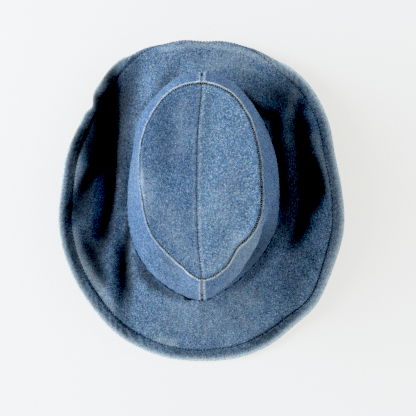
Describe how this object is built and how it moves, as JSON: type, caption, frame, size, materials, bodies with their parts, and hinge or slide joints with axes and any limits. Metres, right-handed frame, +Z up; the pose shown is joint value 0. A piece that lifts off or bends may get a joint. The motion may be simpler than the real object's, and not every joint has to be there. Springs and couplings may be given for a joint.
{
  "type": "bucket hat",
  "caption": "Denim bucket hat with an oval crown of sewn panels and a wide soft brim that rolls up at both sides and stands on a table.",
  "frame": {"origin": "on the table, under the middle of the hat's box, with the hat standing crown up on its brim", "axes": "+Z up out of the crown, +Y towards the back of the hat, +X towards its right as seen from above"},
  "size_m": [0.2706, 0.3136, 0.1229],
  "materials": {
    "denim": "washed mid-blue cotton twill with white flecks, worn paler on every seam and edge",
    "denim_under": "the same denim, less faded on the brim's under side",
    "interfacing": "white woven stiffener between the brim's two layers",
    "lining": "thin plain-weave navy cotton",
    "sweatband_twill": "close navy cotton twill tape",
    "thread_dark": "navy polyester core thread",
    "thread_cream": "cream polyester core thread",
    "thread_tan": "tan polyester core thread",
    "thread_orange": "orange polyester core thread"
  },
  "bodies": {
    "root": {"tip_left": "denim", "tip_right": "denim", "band_left": "denim", "band_right": "denim", "brim_top": "denim", "brim_under": "denim_under", "brim_interfacing": "interfacing", "lining_band_left": "lining", "lining_band_right": "lining", "lining_tip": "lining", "sweatband": "sweatband_twill", "topstitch_hem": "thread_dark", "topstitch_tip_edge": "thread_cream", "topstitch_centre_left": "thread_tan", "topstitch_centre_right": "thread_tan", "topstitch_band_front": "thread_tan", "topstitch_band_back": "thread_tan", "edge_tacks_front": "thread_orange", "edge_tacks_back": "thread_orange"}
  },
  "joints": []
}
